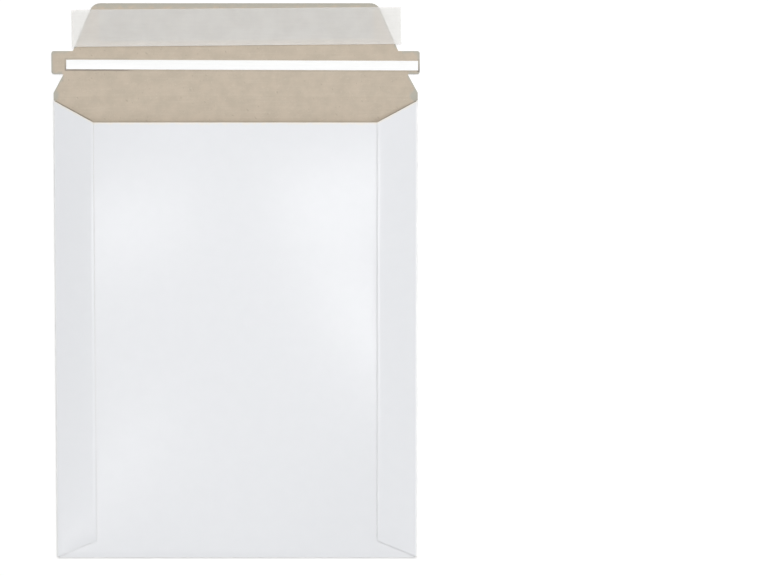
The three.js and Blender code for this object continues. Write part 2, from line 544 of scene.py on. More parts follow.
@dataclass(frozen=True)
class DrawnStreaks:
    """Marks of a sheet drawn out or rolled along X: long streaks with soft blotches."""

    streaks: Lumps = Lumps(900, 3, draw=(22, 1, 1))
    blotches: Lumps = Lumps(75, 3)
    blotch_share: float = 0.4

    def group(self) -> Group:
        """Builds the node group.

        Returns:
            The group, with outputs Streak, Blotch and Height about 0.5.
        """
        desk, given, result = new_group("drawn_streaks", (), ("Streak", "Blotch", "Height"))
        streak = desk.noise(given["Place"], self.streaks)
        blotch = desk.noise(given["Place"], self.blotches)
        desk.feed(result["Streak"], streak)
        desk.feed(result["Blotch"], blotch)
        desk.feed(result["Height"], desk.weighted(streak, blotch, self.blotch_share))
        return desk.tree


@dataclass(frozen=True)
class SharedEffects:
    """The node groups that more than one finish uses."""

    fibre: Group
    rim: Group
    streaks: Group

    @classmethod
    def build(cls) -> "SharedEffects":
        """Builds each group once."""
        return cls(PaperFibre().group(), CutRim().group(), DrawnStreaks().group())


class FinishDesk(NodeDesk):
    """The node tree of one finish, with its Principled shader ready."""

    def __init__(self, name: str) -> None:
        """Starts a material.

        Args:
            name: the material's name.
        """
        self.material = bpy.data.materials.new(name)
        self.material.use_nodes = True
        super().__init__(self.material.node_tree)
        self.tree.nodes.clear()
        self.shader = self.add("ShaderNodeBsdfPrincipled")
        self.add("ShaderNodeOutputMaterial", {"Surface": self.shader.outputs[0]})

    def set(self, socket: str, value: Any) -> None:
        """Sets or links one input of the Principled shader."""
        self.feed(self.shader.inputs[socket], value)

    def effect(self, group: Group, place: Output, **values: Any) -> Any:
        """Places a shared node group that reads a place and further values, and gives its outputs."""
        return self.add("ShaderNodeGroup", {"Place": place, **values}, node_tree=group).outputs

    def crush(self, effects: SharedEffects, place: Output, width: float) -> Output:
        """Crushed rim of a width along the board's cut edges: 1 at the edge, 0 past the rim."""
        distance = self.attribute("edge", "Fac")
        return self.effect(effects.rim, place, Distance=distance, Width=width)["Crush"]

    def bump(self, height: Output, relief: Relief) -> None:
        """Raises the surface by a height that goes from 0 to 1."""
        inputs = {"Height": height, "Strength": relief.strength, "Distance": relief.depth}
        self.set("Normal", self.add("ShaderNodeBump", inputs).outputs[0])


@dataclass(frozen=True)
class CoatedFace:
    """White clay coat on the outside of the board."""

    coat: Colour = (0.79, 0.801, 0.825)
    shade: Colour = (0.772, 0.784, 0.808)
    shade_share: float = 0.5
    crushed: Colour = (0.865, 0.815, 0.73)
    crush_share: float = 0.8
    crush_width: float = 1.9 * MM
    # Painted light on the folds: the colour and gain that whiten their rims.
    painted_fold_light: Colour = (1.0, 1.0, 0.99)
    fold_light_gain: float = 1.9
    roughness: Span = (0.165, 0.18)
    relief: Relief = Relief(0.12, 0.02 * MM)

    def material(self, effects: SharedEffects) -> Material:
        """Builds the coat: faint clouding, cream crushed edges, painted light on the folds and a satin
        surface.

        Args:
            effects: the shared node groups.

        Returns:
            The new material.
        """
        desk = FinishDesk("coated_face")
        place = desk.attribute("blank", "Vector")
        fibre = desk.effect(effects.fibre, place)
        crush = desk.crush(effects, place, self.crush_width)
        clouds = desk.fade(fibre["Cloud"], Levels.COMMON.value, (0, self.shade_share))
        colour = desk.mix(clouds, self.coat, self.shade)
        colour = desk.mix(desk.product(crush, self.crush_share), colour, self.crushed)
        # Painted light: the folds' rims are whitened to brighten their shaded sides.
        painted_shading = desk.product(desk.attribute("fold", "Fac"), fibre["Cloud"])
        colour = desk.mix(desk.maths("MULTIPLY", painted_shading, self.fold_light_gain, clamp=True), colour, self.painted_fold_light)
        desk.set("Base Color", colour)
        desk.set("Roughness", desk.fade(fibre["Cloud"], Levels.WIDE.value, self.roughness))
        desk.bump(fibre["Height"], self.relief)
        return desk.material


@dataclass(frozen=True)
class MouthLine:
    """The mouth's edge over the rear panel: level between the seams, then slanting up to each side."""

    seam_x: float
    throat_y: float
    slope: float

    def distance(self, desk: NodeDesk, place: Output) -> tuple[Output, Output]:
        """Works out how far a place lies above the line, and how far past the seam.

        Args:
            desk: the node tree to work in.
            place: the place on the flat sheet.

        Returns:
            The outputs of both distances, in metres.
        """
        x, y = desk.axes(place)
        beyond = desk.maths("SUBTRACT", desk.maths("ABSOLUTE", x), self.seam_x)
        past_seam = desk.maths("MAXIMUM", beyond, 0.0)
        line = desk.maths("ADD", desk.product(past_seam, self.slope), self.throat_y)
        return desk.maths("SUBTRACT", y, line), past_seam


@dataclass(frozen=True)
class TapeRim:
    """Outline of the tear tape on the flat flap."""

    middle: Span
    tilt: float
    half_length: float
    half_width: float

    def distance(self, desk: NodeDesk, place: Output) -> tuple[Output, Output, Output]:
        """Works out how far a place lies outside the tape, and where along and across it.

        Args:
            desk: the node tree to work in.
            place: the place on the flat sheet.

        Returns:
            The outputs of the distance, the way along from the left end and the way up from the lower edge.
        """
        x, y = desk.axes(desk.mapped(place, self.middle, self.tilt))
        past_end = desk.maths("SUBTRACT", desk.maths("ABSOLUTE", x), self.half_length)
        past_side = desk.maths("SUBTRACT", desk.maths("ABSOLUTE", y), self.half_width)
        along = desk.maths("ADD", x, self.half_length)
        upward = desk.maths("ADD", y, self.half_width)
        return desk.maths("MAXIMUM", past_end, past_side), along, upward


@dataclass(frozen=True)
class BrownFace:
    """Uncoated brown-grey inside of the board, with painted shade along the mouth's edge and a painted
    shadow along the tape's edges.
    """

    mouth: MouthLine
    tape: TapeRim
    light: Colour = (0.574, 0.49, 0.392)
    dark: Colour = (0.514, 0.443, 0.353)
    cloud_levels: Span = (0.28, 0.72)
    pale: Colour = (0.66, 0.59, 0.49)
    grain_levels: Span = (0.5, 0.72)
    grain_share: float = 0.17
    fibre_levels: Span = (0.52, 0.74)
    fibre_share: float = 0.5
    fleck: Colour = (0.33, 0.27, 0.2)
    fleck_share: float = 0.38
    crushed: Colour = (0.45, 0.437, 0.38)
    crush_share: float = 0.95
    crush_width: float = 2.1 * MM
    # Painted shade along the mouth's edge: its colour, width and strengths at the throat and on the slants.
    painted_shading: Colour = (0.27, 0.24, 0.195)
    mouth_shade_width: float = 1.2 * MM
    throat_shade: float = 0.1
    slant_shade: float = 0.85
    slant_run: float = 3 * MM
    # Painted shadow along the tape's edges: its colour, widths and strengths along and across the tape.
    tape_shadow: Colour = (0.2, 0.18, 0.16)
    tape_shadow_width: float = 1.25 * MM
    tape_shadow_full: Span = (0.4, 0.6)
    tape_shadow_inner: float = 0.3
    tape_shadow_left: float = 0.6
    tape_shadow_left_end: Span = (36 * MM, 44 * MM)
    tape_shadow_along: float = 0.17
    tape_shadow_right: float = 0.9
    tape_shadow_upper: float = 0.35
    roughness: Span = (0.78, 0.92)
    relief: Relief = Relief(0.5, 0.05 * MM)

    def painted_mouth_shade(self, desk: FinishDesk, place: Output) -> Output:
        """Painted shade line along the mouth's edge, standing in for the front panel's shadow: fades out
        above and below the edge, stronger on the slants.

        Args:
            desk: the node tree to work in.
            place: the place on the flat sheet.

        Returns:
            The output of the line's strength.
        """
        above, past_seam = self.mouth.distance(desk, place)
        upper = desk.fade(above, (0, self.mouth_shade_width), (1, 0))
        lower = desk.fade(above, (-2 * self.mouth_shade_width, -self.mouth_shade_width))
        strength = desk.fade(past_seam, (0, self.slant_run), (self.throat_shade, self.slant_shade))
        return desk.product(upper, lower, strength)

    def painted_tape_shadow(self, desk: FinishDesk, place: Output) -> Output:
        """Painted shadow by the tape's edge: gathers and fades outward, strongest at the two ends and under
        the lower edge.

        Args:
            desk: the node tree to work in.
            place: the place on the flat sheet.

        Returns:
            The output of the dust's strength.
        """
        outside, along, upward = self.tape.distance(desk, place)
        full_start, full_end = (share * self.tape_shadow_width for share in self.tape_shadow_full)
        gathered = desk.fade(outside, (0, full_start), (self.tape_shadow_inner, 1))
        spent = desk.fade(outside, (full_end, self.tape_shadow_width), (1, 0))
        left = desk.fade(along, self.tape_shadow_left_end, (self.tape_shadow_left, self.tape_shadow_along))
        tape_end = 2 * self.tape.half_length
        right = desk.fade(along, (tape_end - self.tape_shadow_width, tape_end), (0, self.tape_shadow_right))
        lower = desk.fade(upward, (0, 2 * self.tape.half_width), (1, self.tape_shadow_upper))
        return desk.product(gathered, spent, desk.maths("MAXIMUM", left, right), lower)

    def material(self, effects: SharedEffects) -> Material:
        """Builds the brown face: clouded pulp with grain, fibres, flecks, a darker rim, painted shade along
        the mouth's edge, a painted shadow along the tape and a matt surface.

        Args:
            effects: the shared node groups.

        Returns:
            The new material.
        """
        desk = FinishDesk("brown_face")
        place = desk.attribute("blank", "Vector")
        fibre = desk.effect(effects.fibre, place)
        grain = desk.effect(effects.streaks, place)
        crush = desk.crush(effects, place, self.crush_width)
        colour = desk.mix(desk.fade(fibre["Cloud"], self.cloud_levels), self.light, self.dark)
        streaked = desk.fade(grain["Streak"], self.grain_levels, (0, self.grain_share))
        colour = desk.mix(streaked, colour, self.pale)
        fibrous = desk.fade(fibre["Fibre"], self.fibre_levels, (0, self.fibre_share))
        colour = desk.mix(fibrous, colour, self.pale)
        colour = desk.mix(desk.product(fibre["Fleck"], self.fleck_share), colour, self.fleck)
        colour = desk.mix(desk.product(crush, self.crush_share), colour, self.crushed)
        # Painted shade along the mouth's edge and its slants, standing in for the front panel's shadow on
        # the brown.
        colour = desk.mix(self.painted_mouth_shade(desk, place), colour, self.painted_shading)
        # Painted shadow along the tape's edges, darkest under the lifted lower edge at the left end.
        colour = desk.mix(self.painted_tape_shadow(desk, place), colour, self.tape_shadow)
        desk.set("Base Color", colour)
        desk.set("Roughness", desk.fade(fibre["Fibre"], Levels.COMMON.value, self.roughness))
        desk.bump(fibre["Height"], self.relief)
        return desk.material


@dataclass(frozen=True)
class CutBoard:
    """Raw grey-brown edge where the board was die-cut."""

    core: Colour = (0.6, 0.56, 0.49)
    pale: Colour = (0.74, 0.71, 0.65)
    roughness: Span = (0.85, 0.98)
    relief: Relief = Relief(0.7, 0.06 * MM)

    def material(self, effects: SharedEffects) -> Material:
        """Builds the cut edge: rough pulp with pale torn fibres.

        Args:
            effects: the shared node groups.

        Returns:
            The new material.
        """
        desk = FinishDesk("cut_board")
        fibre = desk.effect(effects.fibre, desk.add("ShaderNodeTexCoord").outputs["Object"])
        torn = desk.fade(fibre["Fibre"], Levels.NARROW.value)
        desk.set("Base Color", desk.mix(torn, self.core, self.pale))
        desk.set("Roughness", desk.fade(fibre["Cloud"], Levels.COMMON.value, self.roughness))
        desk.bump(fibre["Height"], self.relief)
        return desk.material


@dataclass(frozen=True)
class Varied:
    """A value that goes over a span while one of the streak patterns goes over its levels."""

    pattern: StreakPattern
    levels: Levels
    span: Span = (0, 1)

    def output(self, desk: NodeDesk, streaks: Any) -> Output:
        """Reads the value from the outputs of a streak group."""
        return desk.fade(streaks[self.pattern.value], self.levels.value, self.span)


@dataclass(frozen=True)
class StripFinish:
    """Film, adhesive or glue: two colours, a shine, a relief and, where it is seen through, a cover."""

    name: str
    first: Colour
    second: Colour
    mixed: Varied
    roughness: Varied
    relief: Relief
    cover: Varied | None = None

    def material(self, effects: SharedEffects) -> Material:
        """Builds the finish from drawn streaks and blotches.

        Args:
            effects: the shared node groups.

        Returns:
            The new material.
        """
        desk = FinishDesk(self.name)
        streaks = desk.effect(effects.streaks, desk.attribute("blank", "Vector"))
        desk.set("Base Color", desk.mix(self.mixed.output(desk, streaks), self.first, self.second))
        desk.set("Roughness", self.roughness.output(desk, streaks))
        if self.cover:
            desk.set("Alpha", self.cover.output(desk, streaks))
        desk.bump(streaks["Height"], self.relief)
        return desk.material


TAPE_FILM = StripFinish(
    "tape_film",
    first=(0.955, 0.96, 0.957),
    second=(0.937, 0.942, 0.939),
    mixed=Varied(StreakPattern.STREAK, Levels.NARROW),
    roughness=Varied(StreakPattern.BLOTCH, Levels.COMMON, (0.3, 0.42)),
    relief=Relief(0.3, 0.02 * MM),
)
LINER_FILM = StripFinish(
    "liner_film",
    first=(0.93, 0.918, 0.892),
    second=(0.91, 0.898, 0.872),
    mixed=Varied(StreakPattern.STREAK, Levels.NARROW),
    roughness=Varied(StreakPattern.STREAK, Levels.COMMON, (0.4, 0.5)),
    relief=Relief(0.15, 0.02 * MM),
    cover=Varied(StreakPattern.BLOTCH, Levels.COMMON, (0.37, 0.4)),
)
SEAL_ADHESIVE = StripFinish(
    "seal_adhesive",
    first=(0.8, 0.8, 0.78),
    second=(0.88, 0.88, 0.88),
    mixed=Varied(StreakPattern.BLOTCH, Levels.COMMON),
    roughness=Varied(StreakPattern.STREAK, Levels.COMMON, (0.15, 0.3)),
    relief=Relief(0.4, 0.03 * MM),
    cover=Varied(StreakPattern.BLOTCH, Levels.WIDE, (0.24, 0.3)),
)
SEAM_GLUE = replace(
    SEAL_ADHESIVE,
    name="seam_glue",
    first=(0.8, 0.73, 0.55),
    second=(0.86, 0.8, 0.66),
    cover=Varied(StreakPattern.BLOTCH, Levels.WIDE, (0.72, 0.9)),
)


@dataclass
class MailerBoard:
    """The one folded sheet of board: rear panel, flap with tabs, front panel and both side wings."""

    sizes: MailerSizes
    columns: int = 72
    side_crowding: float = 0.35
    panel_rows: int = 72
    score_rows: int = 25
    neck_rows: int = 10
    tab_rows: int = 9
    tab_corner_rows: int = 6
    tab_columns: int = 6
    tip_rows: int = 14
    tip_corner_rows: int = 14
    wing_columns: int = 10
    press_columns: int = 7
    fold_steps: int = 14
    shoulder_step: float = 0.5 * MM
    score_reach: float = 1.6 * MM
    score_bead: float = 0.06 * MM
    score_bead_width: float = 0.8 * MM
    score_crush_left: float = 2.0 * MM
    score_crush_right: float = 3.5 * MM
    tip_crush: float = 0.4
    seam_press: float = 0.18 * MM
    seam_press_width: float = 2.2 * MM
    end_press: float = 0.25 * MM
    end_press_width: float = 8.0 * MM
    edge_rounding: float = 0.12 * MM

    def panel_lines(self) -> Array:
        """Rows of the rear panel between the bottom fold and the upper end of the side folds."""
        return np.linspace(self.sizes.panel_start_y, self.sizes.side_fold_top_y, self.panel_rows)

    def across_lines(self) -> Array:
        """Columns of the panels from -1 to 1, left to right: a cubic, closer together at the sides."""
        even = np.linspace(-1, 1, self.columns + 1)
        return even * (1 + self.side_crowding - self.side_crowding * even**2)

    def tab_lines(self) -> Array:
        """Places the rows of the pull tabs, closer together at their rounded corners.

        Returns:
            The rows' Y, from the tabs' lower edge up.
        """
        corner, length = self.sizes.tab_corner, self.sizes.tab_length
        turn = corner * (1 - np.cos(np.linspace(0, math.pi / 2, self.tab_corner_rows)))
        middle = np.linspace(corner, length - corner, self.tab_rows)[1:-1]
        start = self.sizes.score_y + self.sizes.tab_start
        return start + np.concatenate([turn, middle, length - turn[::-1]])

    def flap_lines(self) -> Array:
        """Places the rows from the side folds' upper ends to the flap's tip, closer at score and tip.

        Returns:
            The rows' Y, from the first one above the side folds up.
        """
        sizes = self.sizes
        tabs = self.tab_lines()
        shoulder = sizes.side_fold_top_y + np.array([self.shoulder_step])
        near_score = sizes.score_y + np.linspace(-self.score_reach, self.score_reach, self.score_rows)
        below_tabs = np.linspace(sizes.score_y + sizes.neck_rise, tabs[0], self.neck_rows)[:-1]
        corner_start = sizes.flap_tip_y - sizes.flap_corner
        above_tabs = np.linspace(tabs[-1], corner_start, self.tip_rows)[1:-1]
        turn = corner_start + sizes.flap_corner * np.sin(np.linspace(0, math.pi / 2, self.tip_corner_rows))
        return np.concatenate([shoulder, near_score, below_tabs, tabs, above_tabs, turn])

    def flap_half_width(self, y: Array) -> Array:
        """Half-width of rear panel and flap: straight lines from the score over neck and tabs to the tip.

        A tangent arc rounds the tip's corner; its centre lies one radius below the tip edge and one radius
        inside the tapered edge.

        Args:
            y: places along the sheet, in metres.

        Returns:
            The half-width at each place, in metres.
        """
        sizes = self.sizes
        tab_end = sizes.tab_start + sizes.tab_length
        rises = np.array([0, sizes.neck_rise, sizes.tab_start, tab_end, sizes.flap_tip_y - sizes.score_y])
        widths = sizes.tapered_half_width(sizes.score_y + rises)
        widths[1] = sizes.half_width
        widths[2] = sizes.half_width - (sizes.tab_start - sizes.neck_rise) * sizes.neck_taper
        tapered = np.interp(y - sizes.score_y, rises, widths)
        centre_y = sizes.flap_tip_y - sizes.flap_corner
        centre_x = sizes.tapered_half_width(centre_y) - sizes.flap_corner * math.hypot(1, sizes.flap_taper)
        drop = np.clip(y - centre_y, 0, sizes.flap_corner)
        arc = centre_x + np.sqrt(sizes.flap_corner**2 - drop**2)
        width = np.where(y > centre_y, np.minimum(tapered, arc), tapered)
        return np.where(y <= sizes.side_fold_top_y, sizes.side_fold_x, width)

    def score_rise(self, y: Array) -> Array:
        """Bead that the score leaves on the inside: a bell curve across it."""
        return self.score_bead * np.exp(-(((y - self.sizes.score_y) / self.score_bead_width) ** 2))

    def sheet_height(self, y: Array) -> Array:
        """Middle of the board in rear panel and flap: half the board, plus the bead and the curl."""
        return self.sizes.board / 2 + self.score_rise(y) + self.sizes.flap_curl(y)

    def rear_patch(self) -> SheetPatch:
        """Rear panel and closure flap: straight rows, each scaled to the sheet's half-width there.

        The distance to the cut edge is shortened at the tip, which was crushed further in, and is nothing
        within a small circle about each end of the score.

        Returns:
            The patch, from the bottom fold up to the tip.
        """
        sizes = self.sizes
        y = np.concatenate([self.panel_lines(), self.flap_lines()])[:, None]
        half = self.flap_half_width(y)
        x = half * self.across_lines()
        tabs = self.tab_lines()
        reach = np.where((y >= tabs[0]) & (y <= tabs[-1]), sizes.tab_x, half)
        side_edge = np.where(y > sizes.side_fold_top_y, reach - np.abs(x), sizes.half_width)
        score_end = np.hypot(np.abs(x) - sizes.half_width, y - sizes.score_y)
        bruised = np.maximum(score_end - np.where(x > 0, self.score_crush_right, self.score_crush_left), 0)
        edge = np.minimum(np.minimum(side_edge, self.tip_crush * (sizes.flap_tip_y - y)), bruised)
        return SheetPatch.laid((x, y, self.sheet_height(y)), (x, y), edge, 0.0, flipped=True)

    def tab_patch(self, side: Side) -> SheetPatch:
        """One pull tab: rows from the tapered edge out to a straight end with two rounded corners.

        Args:
            side: the side it stands out at.

        Returns:
            The patch, from the flap's edge outward.
        """
        sizes = self.sizes
        y = self.tab_lines()[:, None]
        inner = self.flap_half_width(y)
        to_end = np.minimum(y - y[0], y[-1] - y)
        inset = np.clip(sizes.tab_corner - to_end, 0, sizes.tab_corner)
        outer = sizes.tab_x - sizes.tab_corner + np.sqrt(sizes.tab_corner**2 - inset**2)
        reach = inner + (outer - inner) * np.linspace(0, 1, self.tab_columns + 1)
        edge = np.minimum(outer - reach, to_end)
        edge[:, :1] = np.maximum(edge[:, :1], sizes.tab_x - inner)
        x = side.value * reach
        return SheetPatch.laid((x, y, self.sheet_height(y)), (x, y), edge, 0.0, flipped=side is Side.RIGHT)

    def folded_profile(self, outer: float, run: Array) -> tuple[Array, Array, Array, Array]:
        """Section through a fold: a half circle about the fold, then a level run back over the panel.

        Args:
            outer: the fold's outer radius, in metres.
            run: how far back from the fold each point of the level run lies, in metres.

        Returns:
            Each point's way out past the fold's start, its height, its way along the sheet and how far it
            lies on the fold.
        """
        radius = outer - self.sizes.board / 2
        turn = np.linspace(0, math.pi, self.fold_steps + 1)
        out = np.concatenate([radius * np.sin(turn), -run])
        z = np.concatenate([outer - radius * np.cos(turn), np.full(run.shape, outer + radius)])
        along = np.concatenate([radius * turn, radius * math.pi + run])
        return out, z, along, np.concatenate([np.sin(turn), np.zeros(run.shape)])

    def front_patch(self) -> SheetPatch:
        """Bottom fold and front panel, which rises with its mouth lift.

        Returns:
            The patch, from the rear panel round the fold and up to the mouth.
        """
        sizes = self.sizes
        run = np.linspace(0, sizes.throat_y - sizes.panel_start_y, self.panel_rows)[1:]
        profile = self.folded_profile(sizes.bottom_radius, run)
        out, z, along, fold = (line[:, None] for line in profile)
        x = sizes.side_fold_x * self.across_lines()
        y = sizes.panel_start_y - out
        place = (x, y, z + sizes.mouth_lift(x, y) * (fold == 0))
        blank = (x, sizes.panel_start_y - along)
        return SheetPatch.laid(place, blank, sizes.throat_y - y, fold, flipped=False)

    def pressed(self, across: Array, from_end: Array) -> Array:
        """Depth that a side flap is pressed to: squares that fade from its free edge and its lower end.

        Args:
            across: distances from the mailer's middle line, in metres.
            from_end: distances from the flap's lower end, in metres.

        Returns:
            The depth at each place, in metres.
        """
        at_seam = np.clip(1 - (across - self.sizes.seam_x) / self.seam_press_width, 0, 1) ** 2
        at_end = np.clip(1 - from_end / self.end_press_width, 0, 1) ** 2
        from_fold = np.clip((self.sizes.side_fold_x - across) / self.end_press_width, 0, 1)
        return np.maximum(self.seam_press * at_seam, self.end_press * at_end * from_fold)

    def wing_patch(self, side: Side) -> SheetPatch:
        """Side fold and side flap, its ends cut on the slant.

        Each row runs between the lower and upper slant at its place across; the flap rises with the front
        panel under it and is pressed down along its free edge and its lower end.

        Args:
            side: the side it folds in from.

        Returns:
            The patch, from the rear panel round the fold and in to the free edge.
        """
        sizes = self.sizes
        width = sizes.side_fold_x - sizes.seam_x
        press_start = width - self.seam_press_width
        level_run = np.linspace(0, press_start, self.wing_columns)[1:]
        press_run = np.linspace(press_start, width, self.press_columns)[1:]
        run = np.concatenate([level_run, press_run])
        out, z, along, fold = self.folded_profile(sizes.side_radius, run)
        x = sizes.side_fold_x + out
        fold_length = math.pi * (sizes.crest_x - sizes.side_fold_x)
        past_crest = (sizes.crest_x - x) / (sizes.crest_x - sizes.seam_x)
        slant = np.where(along > fold_length / 2, past_crest, 0)
        low = sizes.panel_start_y + sizes.side_flap_slant * slant
        high = sizes.side_fold_top_y + (sizes.throat_y - sizes.side_fold_top_y) * slant
        lines = self.panel_lines()[:, None]
        share = (lines - sizes.panel_start_y) / (sizes.side_fold_top_y - sizes.panel_start_y)
        y = low + (high - low) * share
        on_flap = np.arange(len(out)) > self.fold_steps
        rise = np.where(on_flap, sizes.mouth_lift(x, y) - self.pressed(x, y - low), 0)
        blank = (side.value * (sizes.side_fold_x + along), lines)
        place = (side.value * x, y, z + rise)
        return SheetPatch.laid(place, blank, high - y, fold, flipped=side is Side.RIGHT)

    def build(self) -> Piece:
        """Joins the stretches into one board, gives it its thickness and puts it in place of its two nodes.

        Returns:
            The new piece.
        """
        patches = [self.rear_patch(), self.front_patch()]
        for side in Side:
            patches += [self.tab_patch(side), self.wing_patch(side)]
        board = sheet_mesh("mailer_board", patches)
        thicken(board, self.sizes.board, 0, self.edge_rounding)
        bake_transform(board)
        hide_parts("pocket_board", "closure_flap")
        return board

    def dress(self, board: Piece, tape: TapeRim, effects: SharedEffects) -> None:
        """Gives outside, inside and cut edge their finishes, in the order of BoardFace.

        Args:
            board: the built board.
            tape: outline of the tape, for the painted shadow along it.
            effects: the shared node groups.
        """
        sizes = self.sizes
        slope = (sizes.side_fold_top_y - sizes.throat_y) / (sizes.crest_x - sizes.seam_x)
        mouth = MouthLine(sizes.seam_x, sizes.throat_y, slope)
        for finish in (CoatedFace(), BrownFace(mouth, tape), CutBoard()):
            board.data.materials.append(finish.material(effects))


@dataclass(frozen=True)
class FilmStrip:
    """A thin strip, as a grid that follows what it lies on, in place of the node of the same name."""

    name: str
    body: str
    material_slot: str
    length: float
    width: float
    tilt: float
    length_steps: int = 96
    width_steps: int = 8
    rounding_share: float = 0.15

    @property
    def middle(self) -> Vector:
        """Middle of the strip's node."""
        return sum(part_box(self.name), Vector()) / 2

    @property
    def node_height(self) -> float:
        """Height of the strip's node."""
        low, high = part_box(self.name)
        return high[2] - low[2]

    def lay(self) -> tuple[Array, Array, Array, Array]:
        """Lays the strip's plan on the middle of its node, turned by its tilt.

        Returns:
            X and Y of each point of the grid, and its place along and across the flat strip.
        """
        columns = np.linspace(-self.length / 2, self.length / 2, self.length_steps + 1)
        rows = np.linspace(-self.width / 2, self.width / 2, self.width_steps + 1)
        along, across = np.meshgrid(columns, rows)
        x = self.middle[0] + along * math.cos(self.tilt) - across * math.sin(self.tilt)
        y = self.middle[1] + along * math.sin(self.tilt) + across * math.cos(self.tilt)
        return x, y, along, across

    def build(self, place: Arrays, flat: Arrays, thickness: float, finish: Material) -> Piece:
        """Makes the strip's piece from its lower face and puts it in place of its node.

        Args:
            place: X, Y and Z of the lower face's grid.
            flat: each point's way along and across the flat strip.
            thickness: of the strip, in metres.
            finish: the strip's material.

        Returns:
            The new piece.
        """
        patch = SheetPatch.laid(place, flat, 0.0, 0.0, flipped=False)
        piece = sheet_mesh(self.name, [patch])
        thicken(piece, thickness, 1, self.rounding_share * thickness)
        piece.data.materials.append(finish)
        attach(piece, self.body)
        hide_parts(self.name)
        return piece


@dataclass
class FlapFilms:
    """Tear tape, seal adhesive and release liner on the inside of the closure flap."""

    sizes: MailerSizes
    effects: SharedEffects
    tape: FilmStrip = FilmStrip("tear_tape", "flap", "tear_tape", 220.7 * MM, 6 * MM, math.radians(-0.2))
    tape_lift: float = 0.4 * MM
    tape_lift_reach: float = 44.0 * MM
    tape_lift_falloff: int = 8
    tape_edge_lift: float = 0.12 * MM
    adhesive: FilmStrip = FilmStrip(
        "seal_adhesive", "flap", "seal_adhesive", 172 * MM, 19.2 * MM, math.radians(0.5)
    )
    liner: FilmStrip = FilmStrip(
        "release_liner", "flap", "release_liner", 206.6 * MM, 23.2 * MM, math.radians(0.5),
        length_steps=180, width_steps=20,
    )
    ripple: float = 0.08 * MM
    ripple_along: float = 9.0 * MM
    ripple_across: float = 7.0 * MM
    ripple_skew: float = 31.0 * MM
    edge_lift: float = 0.8 * MM
    edge_lift_falloff: int = 4
    edge_lift_lean: float = 0.35
    end_droop: float = 0.25 * MM

    def tape_rim(self) -> TapeRim:
        """Outline of the tape, about the middle of its node."""
        tape = self.tape
        return TapeRim(tuple(tape.middle[:2]), tape.tilt, tape.length / 2, tape.width / 2)

    def on_flap(self, y: Array) -> Array:
        """Height of the flap's inner face, curl included."""
        return self.sizes.board + self.sizes.flap_curl(y)

    def tear_tape(self) -> Piece:
        """Tape: a straight strip on the flap, its lower edge a little proud and lifted at the left end.

        The lift grows with the square of the way across, and falls off steeply past its reach.

        Returns:
            The new piece.
        """
        x, y, along, across = self.tape.lay()
        lower = (0.5 - across / self.tape.width) ** 2
        from_left = along + self.tape.length / 2
        near_left = np.exp(-((from_left / self.tape_lift_reach) ** self.tape_lift_falloff))
        z = self.on_flap(y) + (self.tape_edge_lift + self.tape_lift * near_left) * lower
        finish = TAPE_FILM.material(self.effects)
        return self.tape.build((x, y, z), (along, across), self.tape.node_height, finish)

    def seal_adhesive(self) -> Piece:
        """Adhesive band: flat on the flap, under the liner.

        Returns:
            The new piece.
        """
        x, y, along, across = self.adhesive.lay()
        place = (x, y, self.on_flap(y))
        finish = SEAL_ADHESIVE.material(self.effects)
        return self.adhesive.build(place, (along, across), self.adhesive.node_height, finish)

    def release_liner(self) -> Piece:
        """Liner: lies on the adhesive with faint ripples, its lower edge lifted and its free ends drooping.

        The ripples are a sine along times a skewed cosine across. The lift is a steep power of the way
        across, larger at the left, and the droop a square of the way along each free end.

        Returns:
            The new piece.
        """
        x, y, along, across = self.liner.lay()
        half_length, half_width = self.liner.length / 2, self.liner.width / 2
        skewed = across / self.ripple_across + along / self.ripple_skew
        waves = 0.5 + 0.5 * np.sin(along / self.ripple_along) * np.cos(skewed)
        lower = np.clip(-across / half_width, 0, 1) ** self.edge_lift_falloff
        leftward = 1 - self.edge_lift_lean * (1 + along / half_length)
        stuck = self.adhesive.length / 2
        free = np.clip(np.abs(along) - stuck, 0, None) / (half_length - stuck)
        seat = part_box(self.liner.name)[0][2] - self.sizes.board
        z = self.on_flap(y) + seat + self.ripple * waves
        z = z + self.edge_lift * lower * leftward - self.end_droop * free**2
        finish = LINER_FILM.material(self.effects)
        return self.liner.build((x, y, z), (along, across), self.liner.node_height, finish)


@dataclass
class SeamGlue:
    """Glue line between a side flap and the front panel."""

    sizes: MailerSizes
    effects: SharedEffects
    clearance: float = 0.1 * MM

    def build(self, side: Side) -> Piece:
        """Lays the glue in the middle of its seam, rising with the front panel.

        Args:
            side: the seam it lies in.

        Returns:
            The new piece.
        """
        name = f"seam_glue_{side.name.lower()}"
        low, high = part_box(name)
        strip = FilmStrip(name, "pocket", "seam_glue", high[1] - low[1], high[0] - low[0], math.pi / 2)
        x, y, along, across = strip.lay()
        face = self.sizes.front_z + self.sizes.board / 2 + self.clearance
        place = (x, y, face + self.sizes.mouth_lift(x, y))
        thickness = self.sizes.seam_gap - 2 * self.clearance
        finish = replace(SEAM_GLUE, name=name).material(self.effects)
        return strip.build(place, (along, across), thickness, finish)


@dataclass(frozen=True)
class SoftLamp:
    """A soft lamp aimed at the mailer; share is its part of a plain light level there."""

    name: str
    place: Triple
    width: float
    length: float
    share: float
    aim: Triple = (0, 0.03, 0)

    def hang(self) -> None:
        """Hangs the lamp; its power is share times pi squared times distance cubed over height."""
        reach = Vector(self.place) - Vector(self.aim)
        data = bpy.data.lights.new(self.name, "AREA")
        data.shape = "RECTANGLE"
        data.size = self.width
        data.size_y = self.length
        data.energy = self.share * math.pi**2 * reach.length**3 / reach.z
        lamp = bpy.data.objects.new(self.name, data)
        lamp.location = self.place
        lamp.rotation_mode = "QUATERNION"
        lamp.rotation_quaternion = reach.to_track_quat("Z", "Y")
        bpy.context.collection.objects.link(lamp)


